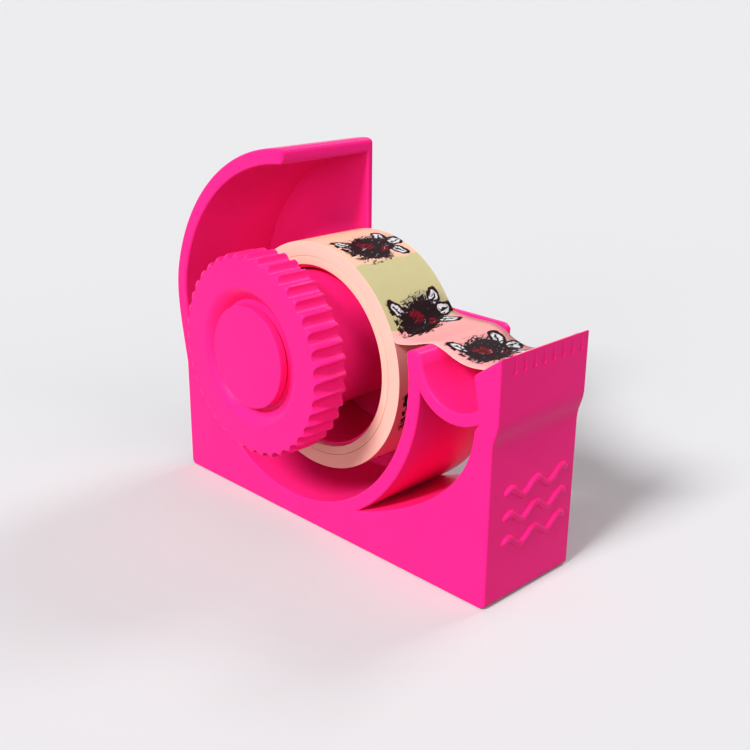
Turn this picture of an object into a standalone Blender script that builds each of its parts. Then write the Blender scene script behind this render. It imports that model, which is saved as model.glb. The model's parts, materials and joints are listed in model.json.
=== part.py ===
"""Washi tape dispenser. A moulded body with a hood and a cradle holds a roll of tape, which hangs on
a drum. A ridged knob turns the drum, and the tape runs over a ridge and a dip to a toothed edge.

X runs from the back of the dispenser to its cutting edge, Y from the knob's side to the closed side,
and Z up. The origin is the centre of the flat bottom."""

import math

import bmesh
import bpy
from mathutils import Matrix

# Roll of tape, which sets the size of the rest
TAPE_WIDTH = 0.015
TAPE_THICKNESS = 0.0002
CORE_BORE_RADIUS = 0.0163
CORE_WALL = 0.0014
SLEEVE_WALL = 0.0004
WINDING_DEPTH = 0.0024
HANG_ANGLE = -62.5

# Clearances: between touching pieces, and between the roll's own layers
GAP = 0.0003
LAYER_GAP = 0.0002

# Drum that carries the roll, smaller than the roll's bore by its play all round
DRUM_PLAY = 0.0036
DRUM_CLEARANCE = 0.0005
DRUM_WALL = 0.0016
DRUM_WEB = 0.002
DRUM_SEAT = 0.0015

# Axle pin and the boss that holds its end
PIN_RADIUS = 0.003
PIN_HEAD_CLEARANCE = 0.0008
PIN_HEAD_THICKNESS = 0.0014
PIN_HEAD_BEVEL = 0.0014
PIN_TIP_CHAMFER = 0.0005
BOSS_WALL = 0.0022
BOSS_LENGTH = 0.006

# Knob, wider than the drum by its reach all round
KNOB_REACH = 0.0053
KNOB_THICKNESS = 0.0065
KNOB_STANDOFF = 0.00265
KNOB_FACE_INSET = 0.0014
KNOB_BEVEL = 0.0011
KNOB_REAR_BEVEL = 0.0003
KNOB_RIM = 0.0067
RECESS_BEVEL = 0.0011
RECESS_DEPTH = 0.0014
GROOVES = 40
GROOVE_RADIUS = 0.0011
GROOVE_DEPTH = 0.0008
GROOVE_START = 0.0011

# Body: walls, and how far its near side stands clear of the roll
SIDE_WALL = 0.0015
REAR_WALL = 0.002
FRONT_WALL = 0.003
NEAR_MARGIN = 0.0047
BOTTOM_CORNER = 0.001
EDGE_ROUNDING = 0.0004

# Cradle under the roll, the floor below it, and the arm in front of it
CRADLE_CLEARANCE = 0.0046
CRADLE_FLOOR = 0.00425
ARM_THICKNESS = 0.0025

# Cradle's flat facets at the back, between these angles about the axle
CREASE_ANGLE = -117.0
FACET_ANGLE = -145.0
FACET_DEPTH = 0.0016

# Hood, on a round a little larger than the cradle's
HOOD_STEP = 0.0026
HOOD_THICKNESS = 0.0027
HOOD_TIP_SETBACK = 0.00156

# Rear wall: upright to a height below the axle, then swelling back into the hood's round
REAR_SWELL = 0.0024
REAR_UPRIGHT_DROP = 0.01075
REAR_INNER_DROP = 0.00525
SWELL_ANGLE = 165.0
REAR_LOWER_HANDLE = (-0.0014, 0.008)
REAR_UPPER_HANDLE = 0.006
INNER_LOWER_HANDLE = (-0.0008, 0.004)
INNER_UPPER_HANDLE = 0.005

# Ridge that the tape crosses, and the low fence of the side wall beside it
RIDGE_RISE = 0.00595
RIDGE_WIDTH = 0.00325
RIDGE_ROUNDING = 0.0011
RIDGE_FALL = 0.0014
FENCE_RISE = 0.0006
FENCE_SETBACK = 0.0014

# Dip in front of the ridge, an open saddle across the whole width
DIP_RADIUS = 0.0068
DIP_DROP = 0.0005
DIP_REACH = 0.0045
DIP_THICKNESS = 0.0022

# Horn-shaped hole under the dip
HORN_TIP_ANGLE = -56.6
HORN_FRONT_DROP = 0.0009
HORN_CORNER_DROP = 0.0005
HORN_FRONT_HANDLE = (-0.0003, -0.012)
HORN_TIP_HANDLE = (0.0098, 0.0032)

# Head with the cutting edge
CUTTER_RISE = 0.0031
CUTTER_OVERHANG = 0.001
CUTTER_LAND = 0.0004
SLOPE_DEPTH = 0.005
SLOPE_ANGLE = 36.5
HEAD_HEIGHT = 0.0094
FLARE_HEIGHT = 0.0061
TEETH = 8
TEETH_NEAR_MARGIN = 0.0022
TEETH_FAR_MARGIN = 0.0009
TOOTH_LAND = 0.0002
TOOTH_DEPTH = 0.0005
TOOTH_LENGTH = 0.0026

# Raised waves on the front face
WAVES = 3
WAVE_PITCH = 0.0042
WAVE_NEAR_MARGIN = 0.00355
WAVE_FAR_MARGIN = 0.00195
WAVE_SWING = 0.0012
WAVE_CYCLES = 3
WAVE_ROD = 0.0007
WAVE_RISE = 0.0004
WAVES_HEIGHT = 0.0140

# Loose end of the tape
PEEL_ANGLE = 20.0
PEEL_HANDLE = (0.0025, -0.0001)
CREST_HANDLE = 0.0022
SAG_HANDLE = (0.0034, -0.0007)
SLOPE_HANDLE = 0.005
EDGE_MARGIN = 0.0004

# Cutters run this far past what they cut, and joined shapes sink this far into each other
OVERRUN = 0.003
SINK = 0.0008

# Points nearer than this are one point
SLIVER = 0.000001

# Steps round a full turn
FINE_STEPS = 64
PIN_STEPS = 32
GROOVE_STEPS = 6

# Radii that follow from the roll
SLEEVE_OUTER = CORE_BORE_RADIUS - LAYER_GAP
SLEEVE_INNER = SLEEVE_OUTER - SLEEVE_WALL
CORE_OUTER = CORE_BORE_RADIUS + CORE_WALL
ROLL_RADIUS = CORE_OUTER + LAYER_GAP + WINDING_DEPTH
DRUM_RADIUS = SLEEVE_INNER - DRUM_PLAY
ROLL_HANG = DRUM_PLAY - DRUM_CLEARANCE
PIN_BORE = PIN_RADIUS + GAP
KNOB_RADIUS = DRUM_RADIUS + KNOB_REACH
RECESS_RADIUS = KNOB_RADIUS - KNOB_RIM
RECESS_FLOOR_RADIUS = RECESS_RADIUS - RECESS_BEVEL
PIN_HEAD_RADIUS = RECESS_FLOOR_RADIUS - PIN_HEAD_CLEARANCE
CRADLE_RADIUS = ROLL_RADIUS + ROLL_HANG + CRADLE_CLEARANCE
ARM_RADIUS = CRADLE_RADIUS + ARM_THICKNESS
HOOD_RADIUS = CRADLE_RADIUS + HOOD_STEP
HOOD_OUTER = HOOD_RADIUS + HOOD_THICKNESS
UNDER_DIP_RADIUS = DIP_RADIUS + DIP_THICKNESS

# Heights above the flat bottom
AXLE_HEIGHT = CRADLE_FLOOR + CRADLE_RADIUS
RIDGE_HEIGHT = AXLE_HEIGHT + RIDGE_RISE
SHOULDER_HEIGHT = RIDGE_HEIGHT - RIDGE_ROUNDING
FENCE_HEIGHT = RIDGE_HEIGHT + FENCE_RISE
DIP_HEIGHT = RIDGE_HEIGHT - DIP_DROP
CUTTER_HEIGHT = RIDGE_HEIGHT + CUTTER_RISE
FLARE_END = CUTTER_HEIGHT - HEAD_HEIGHT
FLARE_START = FLARE_END - FLARE_HEIGHT

# Places along X, reckoned from the axle and then from the middle of the bottom
SHOULDER_REACH = math.sqrt(CRADLE_RADIUS**2 - (SHOULDER_HEIGHT - AXLE_HEIGHT) ** 2)
DIP_HALF_WIDTH = math.sqrt(DIP_RADIUS**2 - (SHOULDER_HEIGHT - DIP_HEIGHT) ** 2)
DIP_FROM_AXLE = SHOULDER_REACH + RIDGE_WIDTH + DIP_HALF_WIDTH
FRONT_FROM_AXLE = DIP_FROM_AXLE + DIP_REACH + FRONT_WALL
REAR_FROM_AXLE = HOOD_OUTER - REAR_SWELL
BODY_LENGTH = REAR_FROM_AXLE + FRONT_FROM_AXLE
REAR = -BODY_LENGTH / 2
FRONT = BODY_LENGTH / 2
WALL_BACK = FRONT - FRONT_WALL
AXLE = (REAR + REAR_FROM_AXLE, AXLE_HEIGHT)
SHOULDER = (AXLE[0] + SHOULDER_REACH, SHOULDER_HEIGHT)
DIP = (AXLE[0] + DIP_FROM_AXLE, DIP_HEIGHT)
CUTTING_EDGE = (FRONT + CUTTER_OVERHANG, CUTTER_HEIGHT)
SLOPE_LENGTH = SLOPE_DEPTH / math.cos(math.radians(SLOPE_ANGLE))

# Places along Y
BODY_WIDTH = NEAR_MARGIN + TAPE_WIDTH + GAP + SIDE_WALL
NEAR = -BODY_WIDTH / 2
FAR = BODY_WIDTH / 2
POCKET_END = FAR - SIDE_WALL
ROLL_FAR = POCKET_END - GAP
ROLL_NEAR = ROLL_FAR - TAPE_WIDTH
KNOB_BACK = NEAR - KNOB_STANDOFF
KNOB_FRONT = KNOB_BACK - KNOB_THICKNESS


def polar(centre, radius, degrees):
    turn = math.radians(degrees)
    return centre[0] + radius * math.cos(turn), centre[1] + radius * math.sin(turn)


def moved(point, offset):
    return point[0] + offset[0], point[1] + offset[1]


def arc(centre, radius, start, end, steps):
    """Points on a circle, both ends included."""
    return [polar(centre, radius, start + (end - start) * i / steps) for i in range(steps + 1)]


def bezier(start, start_handle, end_handle, end, steps):
    """Points on a cubic curve, both ends included. The handles are places, not offsets."""
    points = []
    for i in range(steps + 1):
        t = i / steps
        weights = ((1 - t) ** 3, 3 * t * (1 - t) ** 2, 3 * t * t * (1 - t), t**3)
        corners = (start, start_handle, end_handle, end)
        points.append(tuple(sum(w * c[k] for w, c in zip(weights, corners)) for k in (0, 1)))
    return points


def angle_at(centre, point):
    return math.degrees(math.atan2(point[1] - centre[1], point[0] - centre[0]))


def crossing(centre, radius, height, side=1):
    """The point of a circle at a height, on its +X side or its -X side."""
    return centre[0] + side * math.sqrt(radius**2 - (height - centre[1]) ** 2), height


def crossing_at_x(centre, radius, x):
    """The lower point of a circle at a place along X."""
    return x, centre[1] - math.sqrt(radius**2 - (x - centre[0]) ** 2)


def circles_meet(centre_a, radius_a, centre_b, radius_b):
    """The lower of the two points that lie on both circles."""
    across, up = centre_b[0] - centre_a[0], centre_b[1] - centre_a[1]
    apart = math.hypot(across, up)
    reach = (radius_a**2 - radius_b**2 + apart**2) / (2 * apart)
    aside = math.sqrt(radius_a**2 - reach**2)
    foot = centre_a[0] + reach * across / apart, centre_a[1] + reach * up / apart
    both = [(foot[0] - s * aside * up / apart, foot[1] + s * aside * across / apart) for s in (1, -1)]
    return min(both, key=lambda point: point[1])


def new_collection(name):
    collection = bpy.data.collections.new(name)
    bpy.context.scene.collection.children.link(collection)
    return collection


def material(name, colour, roughness):
    made = bpy.data.materials.new(name)
    made.use_nodes = True
    shader = made.node_tree.nodes["Principled BSDF"]
    shader.inputs["Base Color"].default_value = (*colour, 1)
    shader.inputs["Roughness"].default_value = roughness
    shader.inputs["Metallic"].default_value = 0
    made.diffuse_color = (*colour, 1)
    return made


def add(name, mesh, collection, place=(0, 0, 0)):
    made = bpy.data.objects.new(name, mesh)
    made.location = place
    collection.objects.link(made)
    if collection is cutters:
        made.hide_render = True
        made.display_type = "WIRE"
    return made


def slab(name, outline, near, far, collection, rounding=0.0):
    """A flat outline in X and Z, as thick as from near to far in Y. Rounding softens its two faces' edges."""
    curve = bpy.data.curves.new(name, "CURVE")
    curve.dimensions = "2D"
    curve.fill_mode = "BOTH"
    curve.extrude = (far - near) / 2
    spline = curve.splines.new("POLY")
    spline.points.add(len(outline) - 1)
    for point, (x, z) in zip(spline.points, outline):
        point.co = (x, z, 0, 1)
    spline.use_cyclic_u = True
    guide = bpy.data.objects.new(name + "_outline", curve)
    cutters.objects.link(guide)
    graph = bpy.context.evaluated_depsgraph_get()
    mesh = bpy.data.meshes.new_from_object(guide.evaluated_get(graph))
    bpy.data.objects.remove(guide)
    middle = (near + far) / 2
    mesh.transform(Matrix.Translation((0, middle, 0)) @ Matrix.Rotation(math.radians(90), 4, "X"))
    form = bmesh.new()
    form.from_mesh(mesh)
    bmesh.ops.remove_doubles(form, verts=form.verts, dist=SLIVER)
    bmesh.ops.dissolve_limit(form, angle_limit=math.radians(1), verts=form.verts, edges=form.edges)
    weights = form.edges.layers.float.new("bevel_weight_edge")
    for edge in form.edges:
        sides = [vert.co.y > middle for vert in edge.verts]
        edge[weights] = float(sides[0] == sides[1])
    form.to_mesh(mesh)
    form.free()
    made = add(name, mesh, collection)
    if rounding:
        bevel = made.modifiers.new("rounded edges", "BEVEL")
        bevel.limit_method = "WEIGHT"
        bevel.width = rounding
        bevel.segments = 2
    return made


def turned(name, profile, steps, collection, centre):
    """A profile of (radius, Y) points turned about the Y line through the centre."""
    mesh = bpy.data.meshes.new(name)
    mesh.from_pydata([(r, y, 0) for r, y in profile], [(i, i + 1) for i in range(len(profile) - 1)], [])
    if profile[0][0] or profile[-1][0]:
        form = bmesh.new()
        form.from_mesh(mesh)
        form.verts.ensure_lookup_table()
        form.edges.new((form.verts[-1], form.verts[0]))
        form.to_mesh(mesh)
        form.free()
    made = add(name, mesh, collection, (centre[0], 0, centre[1]))
    screw = made.modifiers.new("turned", "SCREW")
    screw.axis = "Y"
    screw.steps = screw.render_steps = steps
    screw.use_merge_vertices = True
    screw.merge_threshold = SLIVER
    screw.use_smooth_shade = True
    return made


def combine(target, other, operation):
    """Cuts the other object from the target, or joins it to it."""
    boolean = target.modifiers.new(other.name, "BOOLEAN")
    boolean.operation = operation
    boolean.solver = "EXACT"
    boolean.object = other


def rear_line(foot, lower_handle, radius, upper_handle, steps):
    """The rear wall's line: from its upright part, swelling back, to the hood's round."""
    top = polar(AXLE, radius, SWELL_ANGLE)
    before_top = polar(top, upper_handle, SWELL_ANGLE + 90)
    return bezier(foot, moved(foot, lower_handle), before_top, top, steps)


def slope_point(distance, lift=0.0):
    """A point on the head's slope, at a distance back from the cutting edge, raised square to the slope."""
    back = polar(CUTTING_EDGE, distance, SLOPE_ANGLE + 180)
    return polar(back, lift, SLOPE_ANGLE + 90)


def body_outline():
    """The body seen from the knob's side, with the cradle and the hood's inside still filled in."""
    outline = arc((REAR + BOTTOM_CORNER, BOTTOM_CORNER), BOTTOM_CORNER, 180, 270, 3)
    outline += arc((FRONT - BOTTOM_CORNER, BOTTOM_CORNER), BOTTOM_CORNER, 270, 360, 3)
    flare_low, flare_high = (FRONT, FLARE_START), (CUTTING_EDGE[0], FLARE_END)
    half_way = FLARE_HEIGHT / 2
    outline += bezier(
        flare_low, moved(flare_low, (0, half_way)), moved(flare_high, (0, -half_way)), flare_high, 8
    )
    outline += [moved(CUTTING_EDGE, (0, -CUTTER_LAND)), slope_point(CUTTER_LAND), slope_point(SLOPE_LENGTH)]
    dip_front = angle_at(DIP, crossing_at_x(DIP, DIP_RADIUS, WALL_BACK))
    ridge_front = crossing(DIP, DIP_RADIUS, SHOULDER_HEIGHT, -1)
    outline += arc(DIP, DIP_RADIUS, dip_front % 360, angle_at(DIP, ridge_front) % 360, 20)
    fence_round = FENCE_HEIGHT - SHOULDER_HEIGHT
    outline += arc(moved(ridge_front, (-FENCE_SETBACK, 0)), fence_round, 30, 90, 3)
    tip_x = AXLE[0] - HOOD_TIP_SETBACK
    outline.append((tip_x, FENCE_HEIGHT))
    tip_top = AXLE[1] + math.sqrt(HOOD_OUTER**2 - HOOD_TIP_SETBACK**2)
    outline += arc(AXLE, HOOD_OUTER, angle_at(AXLE, (tip_x, tip_top)), SWELL_ANGLE, 26)
    foot = (REAR, AXLE_HEIGHT - REAR_UPRIGHT_DROP)
    return outline + rear_line(foot, REAR_LOWER_HANDLE, HOOD_OUTER, REAR_UPPER_HANDLE, 10)[-2::-1]


def pocket_outline():
    """What is cut from the knob's side: the cradle, the hood's inside, and the air over the ridge."""
    tip_x = AXLE[0] - HOOD_TIP_SETBACK
    hood_end = (tip_x + OVERRUN, AXLE[1] + HOOD_RADIUS)
    tip_inner = AXLE[1] + math.sqrt(HOOD_RADIUS**2 - HOOD_TIP_SETBACK**2)
    outline = [hood_end]
    outline += arc(AXLE, HOOD_RADIUS, angle_at(AXLE, (tip_x, tip_inner)), SWELL_ANGLE, 26)
    wall_x = REAR + REAR_WALL
    foot = (wall_x, AXLE_HEIGHT - REAR_INNER_DROP)
    outline += rear_line(foot, INNER_LOWER_HANDLE, HOOD_RADIUS, INNER_UPPER_HANDLE, 8)[-2::-1]
    facet_radius = CRADLE_RADIUS + FACET_DEPTH
    facet = polar(AXLE, facet_radius, FACET_ANGLE)
    outline += bezier(
        (wall_x, facet[1] + facet_radius / 4),
        (wall_x, facet[1] + facet_radius / 8),
        moved(facet, (-facet_radius / 12, facet_radius / 12)),
        facet,
        4,
    )
    lean = angle_at(AXLE, SHOULDER)
    outline += arc(AXLE, CRADLE_RADIUS, CREASE_ANGLE, lean, 44)
    outline += arc(polar(SHOULDER, RIDGE_ROUNDING, lean), RIDGE_ROUNDING, lean + 180, 90, 4)[1:]
    crest = outline[-1]
    dip_face = crossing(DIP, DIP_RADIUS, RIDGE_HEIGHT - RIDGE_FALL, -1)
    front_foot = moved(dip_face, (EDGE_ROUNDING, -EDGE_ROUNDING))
    outline += bezier(
        crest,
        moved(crest, (RIDGE_FALL, 0)),
        moved(front_foot, (-RIDGE_FALL / 2, RIDGE_FALL)),
        front_foot,
        5,
    )[1:]
    return outline + [(DIP[0], front_foot[1]), (DIP[0], hood_end[1])]


def horn_outline():
    """The hole under the dip: the arm's back, the dip's underside, the front wall and a long low curve."""
    top = circles_meet(AXLE, ARM_RADIUS, DIP, UNDER_DIP_RADIUS)
    outline = arc(AXLE, ARM_RADIUS, HORN_TIP_ANGLE, angle_at(AXLE, top), 18)
    wall_top = crossing_at_x(DIP, UNDER_DIP_RADIUS, WALL_BACK)
    outline += arc(DIP, UNDER_DIP_RADIUS, angle_at(DIP, top) % 360, angle_at(DIP, wall_top) % 360, 14)[1:]
    tip = outline[0]
    low_front = moved(wall_top, (-HORN_CORNER_DROP, -HORN_FRONT_DROP))
    lower = bezier(low_front, moved(low_front, HORN_FRONT_HANDLE), moved(tip, HORN_TIP_HANDLE), tip, 18)
    return outline + lower[:-1]


def tooth_gap_mesh():
    """Square pyramids, point down, whose inner corners cut the notches between the teeth."""
    form = bmesh.new()
    pitch = (BODY_WIDTH - TEETH_NEAR_MARGIN - TEETH_FAR_MARGIN) / TEETH
    side = (pitch - TOOTH_LAND) / 2
    rise = TOOTH_LENGTH + OVERRUN
    growth = rise / TOOTH_LENGTH
    for i in range(TEETH):
        y = NEAR + TEETH_NEAR_MARGIN + pitch * (i + 1 / 2)
        made = bmesh.ops.create_cone(
            form, cap_ends=True, segments=4, radius1=0, radius2=side * growth, depth=rise
        )
        bmesh.ops.scale(form, vec=(TOOTH_DEPTH / side, 1, 1), verts=made["verts"])
        centre = (CUTTING_EDGE[0], y, CUTTER_HEIGHT - TOOTH_LENGTH + rise / 2)
        bmesh.ops.translate(form, vec=centre, verts=made["verts"])
    bmesh.ops.remove_doubles(form, verts=form.verts, dist=SLIVER)
    mesh = bpy.data.meshes.new("tooth_gaps")
    form.to_mesh(mesh)
    form.free()
    return mesh


def wave_mesh(index):
    """One raised wave: a round rod, sunk into the front face so that only its crown shows."""
    curve = bpy.data.curves.new("wave", "CURVE")
    curve.dimensions = "3D"
    curve.bevel_depth = WAVE_ROD
    curve.bevel_resolution = 1
    curve.use_fill_caps = True
    spline = curve.splines.new("POLY")
    steps = 8 * WAVE_CYCLES
    spline.points.add(steps)
    width = BODY_WIDTH - WAVE_NEAR_MARGIN - WAVE_FAR_MARGIN
    height = WAVES_HEIGHT + WAVE_PITCH * (index - (WAVES - 1) / 2)
    for i, point in enumerate(spline.points):
        share = i / steps
        y = NEAR + WAVE_NEAR_MARGIN + width * share
        z = height + WAVE_SWING * math.sin(2 * math.pi * WAVE_CYCLES * share)
        point.co = (FRONT + WAVE_RISE - WAVE_ROD, y, z, 1)
    guide = bpy.data.objects.new("wave_guide", curve)
    cutters.objects.link(guide)
    graph = bpy.context.evaluated_depsgraph_get()
    mesh = bpy.data.meshes.new_from_object(guide.evaluated_get(graph))
    bpy.data.objects.remove(guide)
    form = bmesh.new()
    form.from_mesh(mesh)
    bmesh.ops.remove_doubles(form, verts=form.verts, dist=SLIVER)
    form.to_mesh(mesh)
    form.free()
    return mesh


def make_body():
    """The one-piece moulding: block, hood, cradle, arm, dip, head, side wall and the axle's boss."""
    body = slab("body", body_outline(), NEAR, FAR, parts, EDGE_ROUNDING)
    combine(body, slab("pocket", pocket_outline(), NEAR - OVERRUN, POCKET_END, cutters), "DIFFERENCE")
    combine(body, slab("horn", horn_outline(), NEAR - OVERRUN, FAR + OVERRUN, cutters), "DIFFERENCE")
    boss_radius = PIN_BORE + BOSS_WALL
    boss_profile = [
        (boss_radius, POCKET_END + SINK),
        (boss_radius, POCKET_END - BOSS_LENGTH),
        (PIN_BORE, POCKET_END - BOSS_LENGTH),
        (PIN_BORE, POCKET_END + SINK),
    ]
    combine(body, turned("boss", boss_profile, PIN_STEPS, cutters, AXLE), "UNION")
    combine(body, add("tooth_gaps", tooth_gap_mesh(), cutters), "DIFFERENCE")
    for i in range(WAVES):
        combine(body, add(f"wave_{i + 1}", wave_mesh(i), cutters), "UNION")
    body.data.materials.append(pink)
    return body


def groove_mesh():
    """Round-ended rods, laid round the knob's rim, that cut its finger grooves."""
    form = bmesh.new()
    front = KNOB_FRONT + GROOVE_START + GROOVE_RADIUS
    back = KNOB_BACK + OVERRUN
    for i in range(GROOVES):
        made = bmesh.ops.create_uvsphere(form, u_segments=GROOVE_STEPS, v_segments=4, radius=GROOVE_RADIUS)
        bmesh.ops.rotate(
            form, cent=(0, 0, 0), matrix=Matrix.Rotation(math.radians(90), 3, "X"), verts=made["verts"]
        )
        for vert in made["verts"]:
            vert.co.y += back if vert.co.y > SLIVER else front
        rim = KNOB_RADIUS + GROOVE_RADIUS - GROOVE_DEPTH
        x, z = polar((0, 0), rim, 360 * i / GROOVES)
        bmesh.ops.translate(form, vec=(x, 0, z), verts=made["verts"])
    mesh = bpy.data.meshes.new("grooves")
    form.to_mesh(mesh)
    form.free()
    return mesh


def make_knob():
    """The ridged knob: a dished recess in front for the pin's head, and a seat behind for the drum."""
    face_radius = KNOB_RADIUS - KNOB_FACE_INSET
    seat = DRUM_RADIUS + GAP
    profile = [
        (PIN_BORE, KNOB_FRONT + RECESS_DEPTH),
        (RECESS_FLOOR_RADIUS, KNOB_FRONT + RECESS_DEPTH),
        (RECESS_RADIUS, KNOB_FRONT),
        (face_radius, KNOB_FRONT),
        ((face_radius + KNOB_RADIUS) / 2, KNOB_FRONT + KNOB_BEVEL / 4),
        (KNOB_RADIUS, KNOB_FRONT + KNOB_BEVEL),
        (KNOB_RADIUS, KNOB_BACK - KNOB_REAR_BEVEL),
        (KNOB_RADIUS - KNOB_REAR_BEVEL, KNOB_BACK),
        (seat, KNOB_BACK),
        (seat, KNOB_BACK - DRUM_SEAT),
        (PIN_BORE, KNOB_BACK - DRUM_SEAT),
    ]
    knob = turned("knob", profile[::-1], GROOVES * 2, parts, AXLE)
    grooves = add("grooves", groove_mesh(), cutters, (AXLE[0], 0, AXLE[1]))
    combine(knob, grooves, "DIFFERENCE")
    knob.data.materials.append(pink)
    return knob


def make_drum():
    """The hollow drum: closed at the knob's end by a web with the pin's bore, open at the wall's end."""
    near = KNOB_BACK - DRUM_SEAT + GAP
    inner = DRUM_RADIUS - DRUM_WALL
    profile = [
        (PIN_BORE, near),
        (DRUM_RADIUS, near),
        (DRUM_RADIUS, ROLL_FAR),
        (inner, ROLL_FAR),
        (inner, near + DRUM_WEB),
        (PIN_BORE, near + DRUM_WEB),
    ]
    drum = turned("drum", profile[::-1], FINE_STEPS, parts, AXLE)
    drum.data.materials.append(pink)
    return drum


def make_pin():
    """The axle pin: its wide head fills the knob's recess, and its end is pushed into the body's boss."""
    head_back = KNOB_FRONT + RECESS_DEPTH - GAP
    front = head_back - PIN_HEAD_THICKNESS
    face_radius = PIN_HEAD_RADIUS - PIN_HEAD_BEVEL
    tip = POCKET_END - GAP
    profile = [
        (0, front),
        (face_radius, front),
        ((face_radius + PIN_HEAD_RADIUS) / 2, front + PIN_HEAD_THICKNESS / 4),
        (PIN_HEAD_RADIUS, front + PIN_HEAD_THICKNESS * 3 / 4),
        (PIN_HEAD_RADIUS, head_back),
        (PIN_RADIUS, head_back),
        (PIN_RADIUS, tip - PIN_TIP_CHAMFER),
        (PIN_RADIUS - PIN_TIP_CHAMFER, tip),
        (0, tip),
    ]
    pin = turned("axle_pin", profile[::-1], PIN_STEPS, parts, AXLE)
    pin.data.materials.append(pink)
    return pin


def ring(name, inner, outer, finish):
    """A plain tube as wide as the tape, about the roll's own centre."""
    profile = [(inner, ROLL_NEAR), (outer, ROLL_NEAR), (outer, ROLL_FAR), (inner, ROLL_FAR)]
    made = turned(name, profile[::-1], FINE_STEPS, parts, roll_centre())
    made.data.materials.append(finish)
    return made


def roll_centre():
    """The roll hangs on the drum, drawn a little forward by the tape."""
    return polar(AXLE, ROLL_HANG, HANG_ANGLE)


def make_roll():
    """The roll: a thin plastic sleeve, the paper core round it, and the wound tape."""
    return [
        ring("core_sleeve", SLEEVE_INNER, SLEEVE_OUTER, pink),
        ring("paper_core", CORE_BORE_RADIUS, CORE_OUTER, card),
        ring("tape_roll", CORE_OUTER + LAYER_GAP, ROLL_RADIUS, washi),
    ]


def strip_line():
    """The loose end's line: off the roll, over the ridge, sagging across the dip, and up the slope."""
    peel = polar(roll_centre(), ROLL_RADIUS + GAP + TAPE_THICKNESS, PEEL_ANGLE)
    lift = GAP + TAPE_THICKNESS / 2
    crest = (SHOULDER[0] + RIDGE_ROUNDING, RIDGE_HEIGHT + lift)
    foot = slope_point(SLOPE_LENGTH, lift)
    over_dip = polar(foot, SLOPE_HANDLE, SLOPE_ANGLE + 180)
    line = bezier(peel, moved(peel, PEEL_HANDLE), moved(crest, (-CREST_HANDLE, 0)), crest, 8)
    line += bezier(crest, moved(crest, SAG_HANDLE), over_dip, foot, 16)[1:]
    return line + [slope_point(SLOPE_LENGTH / 2, lift), slope_point(EDGE_MARGIN, lift)]


def make_strip():
    """The loose end of the tape, a thin band stuck to the head's slope."""
    form = bmesh.new()
    verts = [form.verts.new((x, ROLL_NEAR, z)) for x, z in strip_line()]
    edges = [form.edges.new(pair) for pair in zip(verts, verts[1:])]
    swept = bmesh.ops.extrude_edge_only(form, edges=edges)["geom"]
    moving = [item for item in swept if isinstance(item, bmesh.types.BMVert)]
    bmesh.ops.translate(form, vec=(0, TAPE_WIDTH, 0), verts=moving)
    bmesh.ops.recalc_face_normals(form, faces=form.faces)
    mesh = bpy.data.meshes.new("tape_end")
    form.to_mesh(mesh)
    form.free()
    strip = add("tape_end", mesh, parts)
    thickness = strip.modifiers.new("thickness", "SOLIDIFY")
    thickness.thickness = TAPE_THICKNESS
    thickness.offset = 0
    strip.data.materials.append(washi)
    return strip


def pivot(name, centre, pieces, parent=None):
    """An empty on a joint's axis, with the pieces that move with it as its children."""
    empty = bpy.data.objects.new(name, None)
    empty.location = (centre[0], 0, centre[1])
    empty.empty_display_size = PIN_RADIUS
    parts.objects.link(empty)
    for piece in pieces:
        piece.location = (0, 0, 0)
        piece.parent = empty
    if parent:
        empty.location = (0, 0, 0)
        empty.parent = parent
    return empty


for old in list(bpy.data.objects):
    bpy.data.objects.remove(old)
bpy.context.scene.unit_settings.system = "METRIC"
parts = new_collection("washi_tape_dispenser")
cutters = new_collection("cutters")

pink = material("pink_plastic", (1.0, 0.03, 0.24), 0.42)
card = material("core_card", (0.86, 0.62, 0.46), 0.85)
washi = material("washi_tape", (0.93, 0.62, 0.55), 0.6)

make_body()
axle = pivot("axle_pull", AXLE, [make_pin()])
pivot("knob_turn", AXLE, [make_knob(), make_drum()], axle)
pivot("roll_turn", roll_centre(), make_roll())
make_strip()
for piece in parts.objects:
    if piece.type == "MESH":
        piece.data.shade_smooth()
        piece.data.set_sharp_from_angle(angle=math.radians(35))
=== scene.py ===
import json
import math

import bmesh
import bpy
from mathutils import Matrix, Vector
from mathutils.geometry import interpolate_bezier


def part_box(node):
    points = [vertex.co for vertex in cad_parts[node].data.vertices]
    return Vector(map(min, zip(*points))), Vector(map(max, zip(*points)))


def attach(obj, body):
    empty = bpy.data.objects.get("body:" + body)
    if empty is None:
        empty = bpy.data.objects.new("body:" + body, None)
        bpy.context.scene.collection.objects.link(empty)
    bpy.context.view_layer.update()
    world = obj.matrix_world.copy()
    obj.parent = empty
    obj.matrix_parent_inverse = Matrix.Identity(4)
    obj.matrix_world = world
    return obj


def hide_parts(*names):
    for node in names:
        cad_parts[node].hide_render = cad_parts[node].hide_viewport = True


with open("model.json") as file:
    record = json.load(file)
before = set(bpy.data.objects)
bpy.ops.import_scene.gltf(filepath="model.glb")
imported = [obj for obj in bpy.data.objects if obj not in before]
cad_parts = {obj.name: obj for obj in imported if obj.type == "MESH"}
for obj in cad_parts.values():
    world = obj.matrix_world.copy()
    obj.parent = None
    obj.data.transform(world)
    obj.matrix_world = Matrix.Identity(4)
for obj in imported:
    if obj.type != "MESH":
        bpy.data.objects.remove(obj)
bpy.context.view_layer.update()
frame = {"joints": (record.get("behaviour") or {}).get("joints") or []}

# The camera stands where the photograph was taken from: at the corner between the near side and the
# front, a little above the hood. Its place, heading and lens were fitted to the body's edges and arcs.
CAMERA_PLACE = (0.13077, -0.12640, 0.09201)
CAMERA_HEADING = 45.33
CAMERA_PITCH = -19.92
CAMERA_ROLL = 0.54
CAMERA_LENS = 52.857
SENSOR_WIDTH = 36
CAMERA_NEAREST = 0.01

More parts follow.
